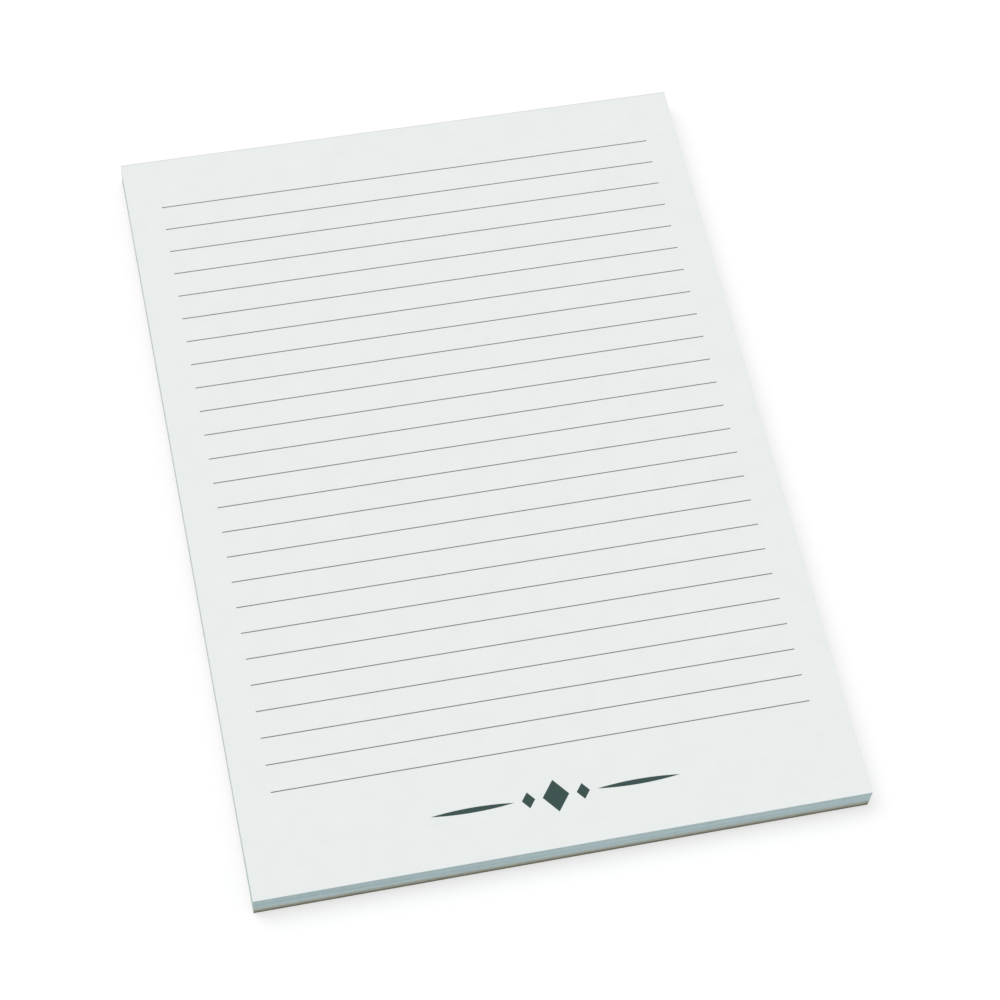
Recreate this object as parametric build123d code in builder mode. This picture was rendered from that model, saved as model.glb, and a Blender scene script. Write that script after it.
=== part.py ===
# A5 notepad: ruled leaves glued at the head onto a grey backing board.
# Frame: +X to the right of the page, +Y towards the glued head, +Z up out of the page.
# The origin is the middle of the footprint, on the surface that the pad lies on.
from build123d import *

import os

# Leaves of plain writing paper, all trimmed in one cut
leaf_width = 148.0
leaf_length = 210.0
leaf_thickness = 0.104
leaf_count = 50

# Hairline slits that part the leaves along the two sides and the foot
slit_height = 0.02
slit_depth = 0.25

# Backing board of grey pulp, trimmed flush with the leaves
board_thickness = 2.0

# Padding glue, brushed over the head of the trimmed stack
glue_film = 0.3
glue_soak = 0.5
glue_edge_radius = 0.1

# Printing ink
ink_film = 0.02

# Ruling on the top leaf
rule_count = 25
rule_weight = 0.26
rule_side_margin = 8.6
rule_head_margin = 15.0
rule_foot_margin = 26.0

# Tailpiece below the ruling: three lozenges between two swelled rules
tail_width = 60.0
tail_foot_margin = 13.0
middle_lozenge_width = 6.4
middle_lozenge_height = 8.2
side_lozenge_width = 3.2
side_lozenge_height = 4.1
lozenge_gap = 1.8
swell_thickness = 1.3

# Levels and edges of the stack
block_height = leaf_count * leaf_thickness
pad_height = board_thickness + block_height
foot_y = -(leaf_length + glue_film) / 2
head_y = foot_y + leaf_length

# Places of the printing
rule_length = leaf_width - 2 * rule_side_margin
rule_pitch = (leaf_length - rule_head_margin - rule_foot_margin) / (rule_count - 1)
ruling_middle_y = (foot_y + rule_foot_margin + head_y - rule_head_margin) / 2
side_lozenge_x = (middle_lozenge_width + side_lozenge_width) / 2 + lozenge_gap
swell_inner_x = side_lozenge_x + side_lozenge_width / 2 + lozenge_gap
swell_outer_x = tail_width / 2
swell_middle_x = (swell_inner_x + swell_outer_x) / 2
tail_y = foot_y + tail_foot_margin


def leaf_outline(length):
    """A rectangle as wide as a leaf that runs this far from the foot towards the head."""
    with Locations((0, foot_y)):
        Rectangle(leaf_width, length, align=(Align.CENTER, Align.MIN))


def lozenge(width, height):
    """A lozenge that stands on one point."""
    Polygon((width / 2, 0), (0, height / 2), (-width / 2, 0), (0, -height / 2))


# Backing board
with BuildPart() as backing_board:
    with BuildSketch():
        leaf_outline(leaf_length)
    extrude(amount=board_thickness)
backing_board.part.label = "backing_board"

# Page block: the leaves are one solid, parted by slits that stop where the glue has soaked in
with BuildPart() as page_block:
    with BuildSketch(Plane.XY.offset(board_thickness)):
        leaf_outline(leaf_length)
    extrude(amount=block_height)
    slit_levels = [board_thickness + n * leaf_thickness for n in range(1, leaf_count)]
    with BuildSketch(*[Plane.XY.offset(level) for level in slit_levels]):
        leaf_outline(leaf_length - glue_soak)
        with Locations((0, foot_y + slit_depth)):
            Rectangle(
                leaf_width - 2 * slit_depth,
                leaf_length,
                align=(Align.CENTER, Align.MIN),
                mode=Mode.SUBTRACT,
            )
    extrude(amount=slit_height / 2, both=True, mode=Mode.SUBTRACT)
page_block.part.label = "page_block"

# Binding glue: a film over the head of the leaves and the board, rounded along its outer edges
with BuildPart() as binding_glue:
    with BuildSketch(Plane.XZ.offset(-head_y)):
        Rectangle(leaf_width, pad_height, align=(Align.CENTER, Align.MIN))
    extrude(amount=-glue_film)
    outer_face = binding_glue.faces().sort_by(Axis.Y)[-1]
    fillet(outer_face.edges().filter_by(Axis.X), radius=glue_edge_radius)
binding_glue.part.label = "binding_glue"

# Ruled lines: bars of ink on the top leaf
with BuildPart() as ruled_lines:
    with BuildSketch(Plane.XY.offset(pad_height)):
        with Locations((0, ruling_middle_y)):
            with GridLocations(0, rule_pitch, 1, rule_count):
                Rectangle(rule_length, rule_weight)
    extrude(amount=ink_film)
ruled_lines.part.label = "ruled_lines"

# Footer tailpiece: a plain ornament of ink, the same on its left and right
with BuildPart() as footer_tailpiece:
    with BuildSketch(Plane.XY.offset(pad_height)):
        with Locations((0, tail_y)):
            lozenge(middle_lozenge_width, middle_lozenge_height)
        with Locations((-side_lozenge_x, tail_y), (side_lozenge_x, tail_y)):
            lozenge(side_lozenge_width, side_lozenge_height)
        for side in (-1, 1):
            with BuildLine():
                for edge in (-1, 1):
                    ThreePointArc(
                        (side * swell_inner_x, tail_y),
                        (side * swell_middle_x, tail_y + edge * swell_thickness / 2),
                        (side * swell_outer_x, tail_y),
                    )
            make_face()
    extrude(amount=ink_film)
footer_tailpiece.part.label = "footer_tailpiece"

os.makedirs("parts", exist_ok=True)
for piece in (backing_board, page_block, binding_glue, ruled_lines, footer_tailpiece):
    export_step(piece.part, f"parts/{piece.part.label}.step")
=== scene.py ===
import math
import random

import bmesh
import bpy
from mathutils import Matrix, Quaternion, Vector, noise


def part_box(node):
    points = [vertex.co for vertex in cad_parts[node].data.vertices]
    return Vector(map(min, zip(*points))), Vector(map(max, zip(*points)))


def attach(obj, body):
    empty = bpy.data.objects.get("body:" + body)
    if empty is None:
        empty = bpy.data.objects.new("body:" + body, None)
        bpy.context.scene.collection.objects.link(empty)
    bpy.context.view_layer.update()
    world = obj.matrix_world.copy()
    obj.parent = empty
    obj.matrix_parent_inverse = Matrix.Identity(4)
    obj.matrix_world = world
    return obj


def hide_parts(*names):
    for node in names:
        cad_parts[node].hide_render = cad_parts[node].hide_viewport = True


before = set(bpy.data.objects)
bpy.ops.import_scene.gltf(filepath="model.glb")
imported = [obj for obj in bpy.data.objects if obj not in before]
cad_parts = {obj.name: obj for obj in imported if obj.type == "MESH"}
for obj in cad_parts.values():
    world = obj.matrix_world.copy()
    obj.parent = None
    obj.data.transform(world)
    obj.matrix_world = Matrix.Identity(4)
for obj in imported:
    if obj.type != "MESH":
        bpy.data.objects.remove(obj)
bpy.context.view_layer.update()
print("frame loaded:", ", ".join(sorted(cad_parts)))

mm = 0.001
white = (1, 1, 1, 1)
onEdge = 0.001 * mm                         # a point nearer than this lies on the edge


# Helpers for node trees

def fromScreen(*levels):
    # screen levels 0-255 to the linear colour that a shader takes
    parts = [level / 255 for level in levels]
    linear = [p / 12.92 if p <= 0.04045 else ((p + 0.055) / 1.055) ** 2.4 for p in parts]
    return (*linear, 1.0)


def addNode(tree, kind, inputs=None, **settings):
    # inputs go by name or number, and each takes a value or another node's socket
    node = tree.nodes.new(kind)
    for name, value in settings.items():
        setattr(node, name, value)
    for name, value in (inputs or {}).items():
        if isinstance(value, bpy.types.NodeSocket):
            tree.links.new(value, node.inputs[name])
        else:
            node.inputs[name].default_value = value
    return node


def newFinish(name, gloss):
    # a new material, its node tree, and the place on the piece that its patterns follow
    finish = bpy.data.materials.new(name)
    finish.use_nodes = True
    tree = finish.node_tree
    for socket, value in gloss.items():
        tree.nodes["Principled BSDF"].inputs[socket].default_value = value
    return finish, tree, addNode(tree, "ShaderNodeTexCoord").outputs["Object"]


def linkFinish(tree, colour, bumps=None, depth=0.0):
    shader = tree.nodes["Principled BSDF"]
    tree.links.new(colour, shader.inputs["Base Color"])
    if bumps is not None:
        relief = addNode(tree, "ShaderNodeBump", {"Height": bumps, "Distance": depth, "Strength": 1.0})
        tree.links.new(relief.outputs["Normal"], shader.inputs["Normal"])


def grain(tree, place, size, detail=2.0, roughness=0.5, distortion=0.0):
    # cloudy noise, with size as the width of its features along x, y and z
    stretch = addNode(tree, "ShaderNodeMapping", {"Vector": place, "Scale": [1 / s for s in size]})
    made = addNode(tree, "ShaderNodeTexNoise", {
        "Vector": stretch.outputs["Vector"], "Scale": 1.0, "Detail": detail,
        "Roughness": roughness, "Distortion": distortion})
    return made.outputs["Fac"]


def maths(tree, operation, first, second=0.0):
    return addNode(tree, "ShaderNodeMath", {0: first, 1: second}, operation=operation).outputs["Value"]


def weighed(tree, patterns, shares):
    # a sum of patterns, each with its share
    total = 0.0
    for pattern, share in zip(patterns, shares):
        total = maths(tree, "ADD", total, maths(tree, "MULTIPLY", pattern, share))
    return total


def passing(tree, value, start, end):
    # 0 before start, 1 after end, and smooth between them
    node = addNode(tree, "ShaderNodeMapRange", {"Value": value, "From Min": start, "From Max": end},
                   interpolation_type="SMOOTHSTEP")
    return node.outputs["Result"]


def shades(tree, factor, tones, span=(0.3, 0.7)):
    # a ramp with its tones spread evenly over a span of the factor
    node = addNode(tree, "ShaderNodeValToRGB", {"Fac": factor})
    elements = node.color_ramp.elements
    while len(elements) < len(tones):
        elements.new(1.0)
    start, end = span
    for order, tone in enumerate(tones):
        elements[order].position = start + (end - start) * order / (len(tones) - 1)
        elements[order].color = tone
    return node.outputs["Color"]


def blended(tree, factor, under, over, way="MIX"):
    # the sockets go by number, because those for colours share their names with others
    node = addNode(tree, "ShaderNodeMix", {0: factor, 6: under, 7: over}, data_type="RGBA", blend_type=way)
    return node.outputs[2]


def axesOf(tree, place):
    return addNode(tree, "ShaderNodeSeparateXYZ", {"Vector": place}).outputs


def leafTone(tree, up, boardTop, leafHeight):
    # a random tone for each leaf, counted up from the board
    leaf = maths(tree, "FLOOR", maths(tree, "DIVIDE", maths(tree, "SUBTRACT", up, boardTop), leafHeight))
    return addNode(tree, "ShaderNodeTexWhiteNoise", {"W": leaf}, noise_dimensions="1D").outputs["Value"]


# Helpers for the meshes

def edgeRing(bm, low, high, spacing):
    # a rectangle of edges at the low level, with points along its four sides
    bmesh.ops.create_grid(bm, x_segments=1, y_segments=1, size=0.5)
    bmesh.ops.scale(bm, vec=(high.x - low.x, high.y - low.y, 1), verts=bm.verts)
    bmesh.ops.translate(bm, vec=((low.x + high.x) / 2, (low.y + high.y) / 2, low.z), verts=bm.verts)
    bmesh.ops.delete(bm, geom=bm.faces[:], context="FACES_ONLY")
    for axis in (0, 1):
        sides = [e for e in bm.edges if abs(e.verts[0].co[axis] - e.verts[1].co[axis]) > spacing]
        cuts = round((high[axis] - low[axis]) / spacing) - 1
        bmesh.ops.subdivide_edges(bm, edges=sides, cuts=cuts)
    return bm.edges[:]


def raiseRings(bm, low, high, spacing, levels):
    # stacks the ring up through levels of (height, set back, wave)
    # and closes both ends with fans of triangles
    ring = edgeRing(bm, low, high, spacing)
    caps = bmesh.ops.contextual_create(bm, geom=ring)["faces"]
    rings = [(bm.verts[:], levels[0])]
    for (below, *_), level in zip(levels, levels[1:]):
        made = bmesh.ops.extrude_edge_only(bm, edges=ring)["geom"]
        verts = [g for g in made if isinstance(g, bmesh.types.BMVert)]
        top = set(verts)
        ring = [g for g in made if isinstance(g, bmesh.types.BMEdge) and top.issuperset(g.verts)]
        bmesh.ops.translate(bm, vec=(0, 0, level[0] - below), verts=verts)
        rings.append((verts, level))
    caps += bmesh.ops.contextual_create(bm, geom=ring)["faces"]
    bmesh.ops.poke(bm, faces=caps)
    return rings


noiseStep = 3.7                             # from the ripple of one ring to that of the next


def setBackRings(rings, low, high, waveLength, glueReach):
    # draws each ring in from the two sides and the foot, and not where the glue holds it
    for order, (verts, (_, setBack, wave)) in enumerate(rings):
        for v in verts:
            x, y, _ = v.co
            ripple = noise.noise((x / waveLength, y / waveLength, order * noiseStep))
            inset = max(0.0, setBack + wave * (ripple + 1) / 2)
            free = min(1.0, (high.y - y) / glueReach)
            if min(x - low.x, high.x - x) < onEdge:
                v.co.x -= math.copysign(inset * free, x)
            if y - low.y < onEdge:
                v.co.y += inset


def isFlat(face):
    # the large faces of a stack are fans of triangles, and its cut edges are quads
    return len(face.verts) == 3


bakeMargin = 0.01                           # left free above and below the columns
bakeColumns = {                             # left edge and width of each column of a stack's bake map
    "shown": (0.01, 0.45),
    "left": (0.475, 0.14),
    "right": (0.63, 0.14),
    "foot": (0.785, 0.14),
    "head": (0.935, 0.02),
    "hidden": (0.96, 0.03),
}


def layOut(bm, rings, low, high, topShows):
    # a map for baking: the large face in sight, the cut edges unrolled ring by ring, and what is hidden
    chart = bm.loops.layers.uv.new("OFBake")
    climb = {v: order / (len(rings) - 1) for order, (verts, _) in enumerate(rings) for v in verts}
    for face in bm.faces:
        middle = face.calc_center_median()
        if isFlat(face):
            isTop = middle.z > (low.z + high.z) / 2
            column = "shown" if isTop == topShows else "hidden"
        else:
            away = {"left": middle.x - low.x, "right": high.x - middle.x,
                    "foot": middle.y - low.y, "head": high.y - middle.y}
            column = min(away, key=away.get)
        start, width = bakeColumns[column]
        for loop in face.loops:
            across = (loop.vert.co.x - low.x) / (high.x - low.x)
            along = (loop.vert.co.y - low.y) / (high.y - low.y)
            u = across if column in ("shown", "hidden") else climb[loop.vert]
            v = across if column in ("foot", "head") else along
            loop[chart].uv = (start + width * u, bakeMargin + (1 - 2 * bakeMargin) * v)


def buildStack(low, high, levels, look, topShows):
    # a trimmed block with one finish for its large faces and another for its cut edges
    bm = bmesh.new()
    rings = raiseRings(bm, low, high, look["spacing"], levels)
    setBackRings(rings, low, high, look["waveLength"], look["glueReach"])
    layOut(bm, rings, low, high, topShows)
    for face in bm.faces:
        face.material_index = 0 if isFlat(face) else 1
    return bm


def finishPiece(name, bm, finishes, node):
    bmesh.ops.recalc_face_normals(bm, faces=bm.faces)
    mesh = bpy.data.meshes.new(name)
    bm.to_mesh(mesh)
    bm.free()
    for finish in finishes:
        mesh.materials.append(finish)
    piece = bpy.data.objects.new(name, mesh)
    bpy.context.scene.collection.objects.link(piece)
    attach(piece, "root")
    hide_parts(node)
    print("made", name, "with", len(mesh.polygons), "faces")


# Pages

pages = {
    "leaves": 50,
    "spacing": 4 * mm,                      # of points along the edges
    "groove": 0.2 * mm,                     # how deep the gaps between leaves run
    "gap": (0.008 * mm, 0.02 * mm),         # half a gap's height, least and most
    "slip": 0.04 * mm,                      # how far a leaf may lie back from the cut
    "wave": 0.03 * mm,                      # how far its edge wanders back beside that
    "waveLength": 35 * mm,
    "glueReach": 3 * mm,                    # near the head the gaps close
    "seed": 11,
    "paper": {
        "gloss": {"Roughness": 0.86, "Specular IOR Level": 0.22},
        "tones": (fromScreen(231, 235, 234), fromScreen(235, 239, 238)),
        "cloud": {"size": [6 * mm] * 3, "detail": 4.0, "roughness": 0.6},
        "fibre": {"size": (0.25 * mm, 1.1 * mm, 0.25 * mm),
                  "detail": 3.0, "roughness": 0.65, "distortion": 0.4},
        "shares": (0.65, 0.35),             # of cloud and fibre in the tone
        "tooth": 0.006 * mm,                # height of the surface grain
    },
    "cutEdge": {
        "gloss": {"Roughness": 0.95, "Specular IOR Level": 0.1},
        # painted shade: the foot's cut edge is darker and bluer than the sides, standing in for bluish shade
        # on that face
        "foot": (fromScreen(178, 202, 206), fromScreen(216, 234, 236)),
        "side": (fromScreen(205, 216, 216), fromScreen(230, 238, 237)),  # the edge's own tones, paler and less blue than the foot's painted shade
        "footShadeFade": (1 * mm, 22 * mm),      # where the painted bluish shade of the foot fades, up along the sides
        "topLeafShadow": fromScreen(190, 205, 206),  # painted shadow: the last few leaves under the top one are painted greyer, as in the top leaf's shadow
        "topLeafShadowDepth": 1.3 * mm,
        "topLeafShadowShare": 0.45,
        "boardBounce": fromScreen(186, 190, 178),  # painted bounce light: the lowest leaves are tinted warmer, as by light thrown back from the board
        "boardBounceHeight": 1.7 * mm,
        "boardBounceShare": 0.4,
        "bundle": {"size": (90 * mm, 90 * mm, 1.5 * mm)},  # leaves that were jogged together
        "streak": 14 * mm,                  # length of a streak on one leaf
        "knife": {"size": (0.9 * mm, 0.9 * mm, 9 * mm), "detail": 3.0},  # drag marks, upright
        "shares": (0.2, 0.45, 0.2, 0.15),   # of leaf, bundle, streak and knife in the tone
        "streakDepth": 0.02 * mm,
    },
}


def writingPaper():
    look = pages["paper"]
    finish, tree, place = newFinish("writingPaper", look["gloss"])
    cloud = grain(tree, place, **look["cloud"])
    fibres = grain(tree, place, **look["fibre"])
    colour = shades(tree, weighed(tree, (cloud, fibres), look["shares"]), look["tones"])
    linkFinish(tree, colour, fibres, look["tooth"])
    return finish


def cutLeaves(low, high, leafHeight):
    look = pages["cutEdge"]
    finish, tree, place = newFinish("cutLeaves", look["gloss"])
    axes = axesOf(tree, place)
    leaf = leafTone(tree, axes["Z"], low.z, leafHeight)
    bundle = grain(tree, place, **look["bundle"])
    streak = grain(tree, place, (look["streak"], look["streak"], leafHeight))
    knife = grain(tree, place, **look["knife"])
    mix = weighed(tree, (leaf, bundle, streak, knife), look["shares"])
    # painted shade: the foot takes darker, bluer tones, fading up the sides to their own tones
    pastFootShade = passing(tree, axes["Y"], *[low.y + fade for fade in look["footShadeFade"]])
    # painted shadow just under the top leaf
    topLeafShadowMask = passing(tree, axes["Z"], high.z - look["topLeafShadowDepth"], high.z)
    # painted bounce light from the board on the lowest leaves
    boardBounceMask = passing(tree, axes["Z"], low.z + look["boardBounceHeight"], low.z)
    colour = blended(tree, pastFootShade, shades(tree, mix, look["foot"]), shades(tree, mix, look["side"]))
    colour = blended(tree, maths(tree, "MULTIPLY", topLeafShadowMask, look["topLeafShadowShare"]), colour, look["topLeafShadow"])
    colour = blended(tree, maths(tree, "MULTIPLY", boardBounceMask, look["boardBounceShare"]), colour, look["boardBounce"])
    linkFinish(tree, colour, streak, look["streakDepth"])
    return finish


def makePages():
    low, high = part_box("page_block")
    draw = random.Random(pages["seed"])
    leafHeight = (high.z - low.z) / pages["leaves"]
    gaps = [draw.uniform(*pages["gap"]) for _ in range(pages["leaves"] - 1)]
    slips = [draw.uniform(0, pages["slip"]) for _ in range(pages["leaves"])]
    slips[-1] = 0.0                         # the top leaf is flush
    levels = [(low.z, slips[0], 0.0)]
    for n, gap in enumerate(gaps, start=1):
        height = low.z + n * leafHeight
        levels.append((height - gap, slips[n - 1], pages["wave"]))
        levels.append((height, pages["groove"], 0.0))
        levels.append((height + gap, slips[n], pages["wave"]))
    levels.append((high.z, slips[-1], 0.0))
    bm = buildStack(low, high, levels, pages, topShows=True)
    finishPiece("pages", bm, [writingPaper(), cutLeaves(low, high, leafHeight)], "page_block")


# Backing board

board = {
    "spacing": 1 * mm,                      # of points along the edges
    "plies": 9,
    "roughness": 0.05 * mm,                 # how far the cut edge wanders
    "waveLength": 1.6 * mm,
    "lowerEdge": 0.14 * mm,                 # pressed round where the blade went out
    "upperEdge": 0.03 * mm,
    "glueReach": 2 * mm,                    # near the head the edge is smooth
    "seed": 5,
    "tooth": 0.05 * mm,                     # height of the pulp's grain, on the faces and the edge
    "face": {
        "gloss": {"Roughness": 0.93, "Specular IOR Level": 0.12},
        "tones": (fromScreen(131, 126, 107), fromScreen(148, 143, 124), fromScreen(166, 162, 144)),
        "cloud": {"size": [9 * mm] * 3, "detail": 5.0, "roughness": 0.62},
        "fibre": {"size": (0.45 * mm, 2.4 * mm, 0.45 * mm),
                  "detail": 4.0, "roughness": 0.7, "distortion": 0.6},
        "shares": (0.4, 0.6),               # of cloud and fibre in the tone
    },
    "hairs": {                              # dark and pale flecks in the faces
        "tones": (fromScreen(98, 93, 80), fromScreen(186, 182, 166)),
        "turns": (0.5, 1.2, 2.0, 2.8),      # which way the four sets of flecks lie
        "share": 0.5,                       # how strongly they show
        "room": (0.9 * mm, 4.5 * mm, 0.9 * mm),  # for each fleck, far longer than wide
        "swirl": 11 * mm,                   # size of the eddies that bend their lie
        "reach": 0.46,                      # of the largest from its middle, as a share of its room
        "ragged": 0.4,                      # the most that a rough outline takes off that
        "rim": (-0.04, 0.06),               # over which the outline fades
    },
    "cutEdge": {
        "gloss": {"Roughness": 0.95, "Specular IOR Level": 0.08},
        "tones": (fromScreen(121, 124, 105), fromScreen(197, 197, 182)),  # painted shade: dark below, where the board meets the floor, beige above
        "toneSpan": (0.15, 0.85),
        "plies": {"size": (4 * mm, 4 * mm, 0.22 * mm),
                  "detail": 4.0, "roughness": 0.7, "distortion": 0.5},
        "tufts": {"size": [0.4 * mm] * 3, "detail": 3.0, "roughness": 0.7},
        "heightShares": (0.8, 0.2),         # of height and plies in the tone
        "tornShares": (0.6, 0.4),           # of plies and tufts in the torn pulp
        "hollowShade": (0.6, 0.59, 0.57, 1.0),   # painted shade: how much the hollows between fibres are darkened
        "hollowShadeSpan": (0.38, 0.6),
    },
}


def flecks(tree, place, turn):
    # thinly strewn ragged hairs, and each turn picks another set that lies another way
    look = board["hairs"]
    swirl = look["swirl"]
    wander = addNode(tree, "ShaderNodeTexNoise", {"Vector": place, "Scale": 1 / swirl, "Detail": 1.0})
    drift = addNode(tree, "ShaderNodeVectorMath", {0: wander.outputs["Color"], "Scale": swirl},
                    operation="SCALE")
    swirled = addNode(tree, "ShaderNodeVectorMath", {0: place, 1: drift.outputs["Vector"]}, operation="ADD")
    turned = addNode(tree, "ShaderNodeMapping", {
        "Vector": swirled.outputs["Vector"], "Rotation": (0, 0, turn)})
    moved = addNode(tree, "ShaderNodeMapping", {
        "Vector": turned.outputs["Vector"], "Location": [turn] * 3, "Scale": [1 / r for r in look["room"]]})
    cells = addNode(tree, "ShaderNodeTexVoronoi", {
        "Vector": moved.outputs["Vector"], "Scale": 1.0, "Randomness": 1.0})
    rough = grain(tree, place, [look["room"][0] / 2] * 3)
    outline = maths(tree, "ADD", cells.outputs["Distance"], maths(tree, "MULTIPLY", rough, look["ragged"]))
    chance = addNode(tree, "ShaderNodeSeparateColor", {"Color": cells.outputs["Color"]}).outputs["Red"]
    reach = maths(tree, "MULTIPLY", chance, look["reach"])
    return passing(tree, maths(tree, "SUBTRACT", reach, outline), *look["rim"])


def greyPulp():
    look = board["face"]
    hairs = board["hairs"]
    finish, tree, place = newFinish("greyPulp", look["gloss"])
    cloud = grain(tree, place, **look["cloud"])
    fibres = grain(tree, place, **look["fibre"])
    colour = shades(tree, weighed(tree, (cloud, fibres), look["shares"]), look["tones"])
    for order, turn in enumerate(hairs["turns"]):
        shown = maths(tree, "MULTIPLY", flecks(tree, place, turn), hairs["share"])
        colour = blended(tree, shown, colour, hairs["tones"][order % 2])
    linkFinish(tree, colour, fibres, board["tooth"])
    return finish


def cutPulp(low, high):
    look = board["cutEdge"]
    finish, tree, place = newFinish("cutPulp", look["gloss"])
    plies = grain(tree, place, **look["plies"])
    tufts = grain(tree, place, **look["tufts"])
    torn = weighed(tree, (plies, tufts), look["tornShares"])
    # painted shade: the cut edge darkens towards the bottom
    climb = passing(tree, axesOf(tree, place)["Z"], low.z, high.z)
    height = weighed(tree, (climb, plies), look["heightShares"])
    colour = shades(tree, height, look["tones"], look["toneSpan"])
    # painted shade in the hollows between fibres
    paintedHollowShade = shades(tree, torn, (look["hollowShade"], white), look["hollowShadeSpan"])
    linkFinish(tree, blended(tree, 1.0, colour, paintedHollowShade, "MULTIPLY"), torn, board["tooth"])
    return finish


def makeBoard():
    low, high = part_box("backing_board")
    draw = random.Random(board["seed"])
    third = board["lowerEdge"] / 3
    levels = [(low.z, board["lowerEdge"], 0.0), (low.z + third, third, 0.0)]
    start, end = low.z + board["lowerEdge"], high.z - board["upperEdge"]
    for n in range(board["plies"]):
        height = start + (end - start) * n / (board["plies"] - 1)
        levels.append((height, draw.uniform(0, board["roughness"] / 2), board["roughness"]))
    levels.append((high.z, board["upperEdge"], 0.0))
    bm = buildStack(low, high, levels, board, topShows=False)
    finishPiece("backingBoard", bm, [greyPulp(), cutPulp(low, high)], "backing_board")


# Binding glue

glue = {
    "columns": 148,
    "rows": 30,
    "brushDepth": 0.1 * mm,                 # how deep the brush marks go
    "brushLength": 22 * mm,
    "brushWidth": 0.9 * mm,
    "brushSlice": 4.2,                      # any other number gives other marks
    "edgeRound": 0.09 * mm,
    "edgeSteps": 3,
    "film": {
        "gloss": {"Roughness": 0.42, "Specular IOR Level": 0.45},
        "overLeaves": (fromScreen(209, 214, 211), fromScreen(228, 229, 225)),  # milky where it is thick
        "overLeavesSpan": (0.25, 0.7),
        "overBoard": (fromScreen(163, 158, 141), fromScreen(189, 186, 173)),
        "stroke": {"size": (30 * mm, 30 * mm, 0.9 * mm),
                   "detail": 3.0, "roughness": 0.6, "distortion": 0.3},
        "strokeDepth": 0.02 * mm,
        "shares": (0.7, 0.3),               # of strokes and single leaves in the tone
        "blur": 0.12 * mm,                  # where leaves give way to board
    },
}


def driedGlue(boardTop, leafHeight):
    look = glue["film"]
    finish, tree, place = newFinish("driedGlue", look["gloss"])
    up = axesOf(tree, place)["Z"]
    strokes = grain(tree, place, **look["stroke"])
    mix = weighed(tree, (strokes, leafTone(tree, up, boardTop, leafHeight)), look["shares"])
    overLeaves = shades(tree, mix, look["overLeaves"], look["overLeavesSpan"])
    overBoard = shades(tree, strokes, look["overBoard"])
    above = passing(tree, up, boardTop - look["blur"], boardTop + look["blur"])
    linkFinish(tree, blended(tree, above, overBoard, overLeaves), strokes, look["strokeDepth"])
    return finish


def makeGlue():
    low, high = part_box("binding_glue")
    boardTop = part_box("backing_board")[1].z
    bm = bmesh.new()
    bmesh.ops.create_grid(bm, x_segments=glue["columns"], y_segments=glue["rows"], size=0.5)
    bmesh.ops.scale(bm, vec=(high.x - low.x, high.z - low.z, 1), verts=bm.verts)
    bmesh.ops.rotate(bm, matrix=Quaternion((1, 0, 0), math.pi / 2).to_matrix(), verts=bm.verts)
    bmesh.ops.translate(bm, vec=((low.x + high.x) / 2, high.y, (low.z + high.z) / 2), verts=bm.verts)
    for v in bm.verts:
        stroke = noise.noise((v.co.x / glue["brushLength"], glue["brushSlice"], v.co.z / glue["brushWidth"]))
        v.co.y -= glue["brushDepth"] * (stroke + 1) / 2
    rim = [e for e in bm.edges if e.is_boundary]
    made = bmesh.ops.extrude_edge_only(bm, edges=rim)["geom"]
    back = {g for g in made if isinstance(g, bmesh.types.BMVert)}
    for v in back:
        v.co.y = low.y
    backRim = [e for e in bm.edges if back.issuperset(e.verts)]
    backFace = bmesh.ops.contextual_create(bm, geom=backRim)["faces"]
    bmesh.ops.poke(bm, faces=backFace)
    longEdges = [e for e in rim if abs(e.verts[0].co.x - e.verts[1].co.x) > onEdge]
    bmesh.ops.bevel(bm, geom=longEdges, offset=glue["edgeRound"], offset_type="OFFSET", affect="EDGES",
                    segments=glue["edgeSteps"], profile=0.5, material=-1)
    for face in bm.faces:
        face.smooth = len(face.verts) == 4
    leafHeight = (high.z - boardTop) / pages["leaves"]
    finishPiece("glueFilm", bm, [driedGlue(boardTop, leafHeight)], "binding_glue")


# Printing

printing = {
    "gloss": {"Roughness": 0.8, "Specular IOR Level": 0.2},
    "mottle": {"size": [0.3 * mm] * 3, "detail": 3.0, "roughness": 0.6},
    "inks": {
        "ruled_lines": ("ruleInk", (fromScreen(117, 120, 119), fromScreen(131, 134, 133))),
        "footer_tailpiece": ("tailInk", (fromScreen(50, 73, 70), fromScreen(62, 85, 82))),
    },
}


def printInk(name, tones):
    finish, tree, place = newFinish(name, printing["gloss"])
    mottle = grain(tree, place, **printing["mottle"])
    linkFinish(tree, shades(tree, mottle, tones))
    return finish


def dressPrint():
    # the printing keeps its solids and takes an ink
    for node, (name, tones) in printing["inks"].items():
        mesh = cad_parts[node].data
        mesh.materials.clear()
        mesh.materials.append(printInk(name, tones))
    print("ink on the ruling and the tailpiece")


# Studio

studio = {
    "skyShare": 0.7,                        # of the light on the page, and the lamp gives the rest
    "lampFrom": (-0.6, 0.5, 1.4),           # direction from the pad to the lamp
    "lampSpread": math.radians(40),
    "floorWidth": 12.0,                     # metres, so its rim is far off
    "floorSeen": 0.47,                      # how pale the floor is in sight, which shows the shadow
    "floorGlow": 0.55,                      # what lifts it to white there
    "floorBounce": 0.85,                    # how pale it is to the light that it throws back
}


def seenDirectly(tree):
    rays = addNode(tree, "ShaderNodeLightPath").outputs
    seen = maths(tree, "MAXIMUM", rays["Is Camera Ray"], rays["Is Glossy Ray"])
    return maths(tree, "MAXIMUM", seen, rays["Is Transmission Ray"])


def mixShaders(tree, factor, first, second):
    return addNode(tree, "ShaderNodeMixShader", {0: factor, 1: first, 2: second}).outputs["Shader"]


def grey(level):
    return (level, level, level, 1)


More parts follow.
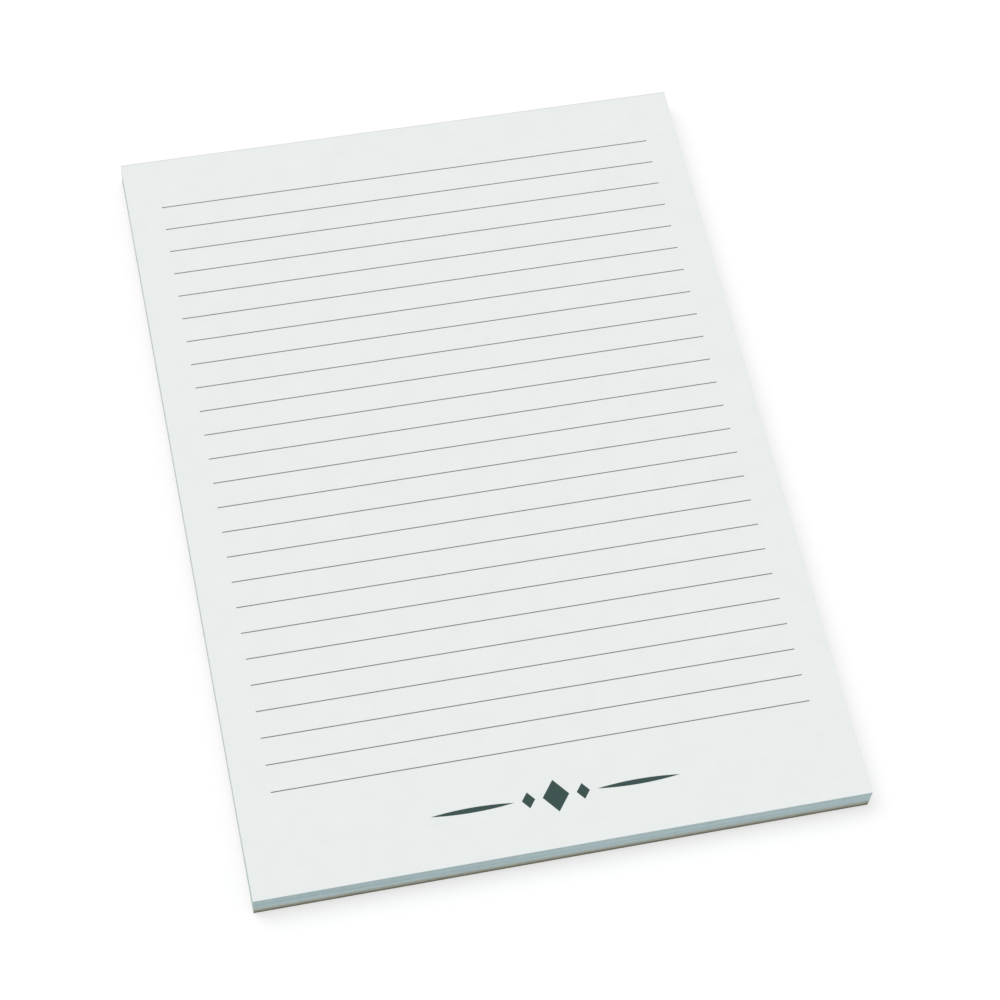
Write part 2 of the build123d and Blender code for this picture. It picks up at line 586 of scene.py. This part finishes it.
def makeFloor():
    bm = bmesh.new()
    bmesh.ops.create_grid(bm, x_segments=1, y_segments=1, size=studio["floorWidth"] / 2)
    mesh = bpy.data.meshes.new("floor")
    bm.to_mesh(mesh)
    bm.free()
    finish = bpy.data.materials.new("paleFloor")
    finish.use_nodes = True
    tree = finish.node_tree
    tree.nodes.remove(tree.nodes["Principled BSDF"])
    bounce = addNode(tree, "ShaderNodeBsdfDiffuse", {"Color": grey(studio["floorBounce"])})
    seen = addNode(tree, "ShaderNodeBsdfDiffuse", {"Color": grey(studio["floorSeen"])})
    glow = addNode(tree, "ShaderNodeEmission", {"Color": white, "Strength": studio["floorGlow"]})
    pale = addNode(tree, "ShaderNodeAddShader", {0: seen.outputs["BSDF"], 1: glow.outputs["Emission"]})
    surface = mixShaders(tree, seenDirectly(tree), bounce.outputs["BSDF"], pale.outputs["Shader"])
    tree.links.new(surface, tree.nodes["Material Output"].inputs["Surface"])
    mesh.materials.append(finish)
    floor = bpy.data.objects.new("floor", mesh)
    bpy.context.scene.collection.objects.link(floor)


def lightStudio():
    world = bpy.data.worlds.new("studioSky")
    bpy.context.scene.world = world
    world.use_nodes = True
    tree = world.node_tree
    sky = tree.nodes["Background"]
    sky.inputs["Color"].default_value = white
    sky.inputs["Strength"].default_value = studio["skyShare"]
    backdrop = addNode(tree, "ShaderNodeBackground", {"Color": white, "Strength": 1.0})
    surface = mixShaders(tree, seenDirectly(tree), sky.outputs["Background"], backdrop.outputs["Background"])
    tree.links.new(surface, tree.nodes["World Output"].inputs["Surface"])
    toLamp = Vector(studio["lampFrom"]).normalized()
    lamp = bpy.data.lights.new("softLamp", "SUN")
    lamp.energy = (1 - studio["skyShare"]) * math.pi / toLamp.z
    lamp.angle = studio["lampSpread"]
    holder = bpy.data.objects.new("softLamp", lamp)
    holder.location = toLamp
    holder.rotation_mode = "QUATERNION"
    holder.rotation_quaternion = (-toLamp).to_track_quat("-Z", "Y")
    bpy.context.scene.collection.objects.link(holder)


viewPoint = {
    "stand": Vector((-101.5, -344.0, 615.6)) * mm,
    "aim": Vector((3.6, -11.8, 7.2)) * mm,
    "roll": math.radians(6.43),
    "lens": 101.7,
    "sensor": 36.0,
    "nearest": 10 * mm,                     # nothing closer to the camera is drawn
}


def placeCamera():
    lens = bpy.data.cameras.new("camera")
    lens.lens = viewPoint["lens"]
    lens.sensor_width = viewPoint["sensor"]
    lens.clip_start = viewPoint["nearest"]
    camera = bpy.data.objects.new("camera", lens)
    camera.location = viewPoint["stand"]
    camera.rotation_mode = "QUATERNION"
    level = (viewPoint["aim"] - viewPoint["stand"]).to_track_quat("-Z", "Y")
    camera.rotation_quaternion = level @ Quaternion((0, 0, 1), viewPoint["roll"])
    bpy.context.scene.collection.objects.link(camera)
    bpy.context.scene.camera = camera


makePages()
makeBoard()
makeGlue()
dressPrint()
makeFloor()
lightStudio()
placeCamera()
bpy.context.scene.view_settings.view_transform = "Standard"
print("studio ready")
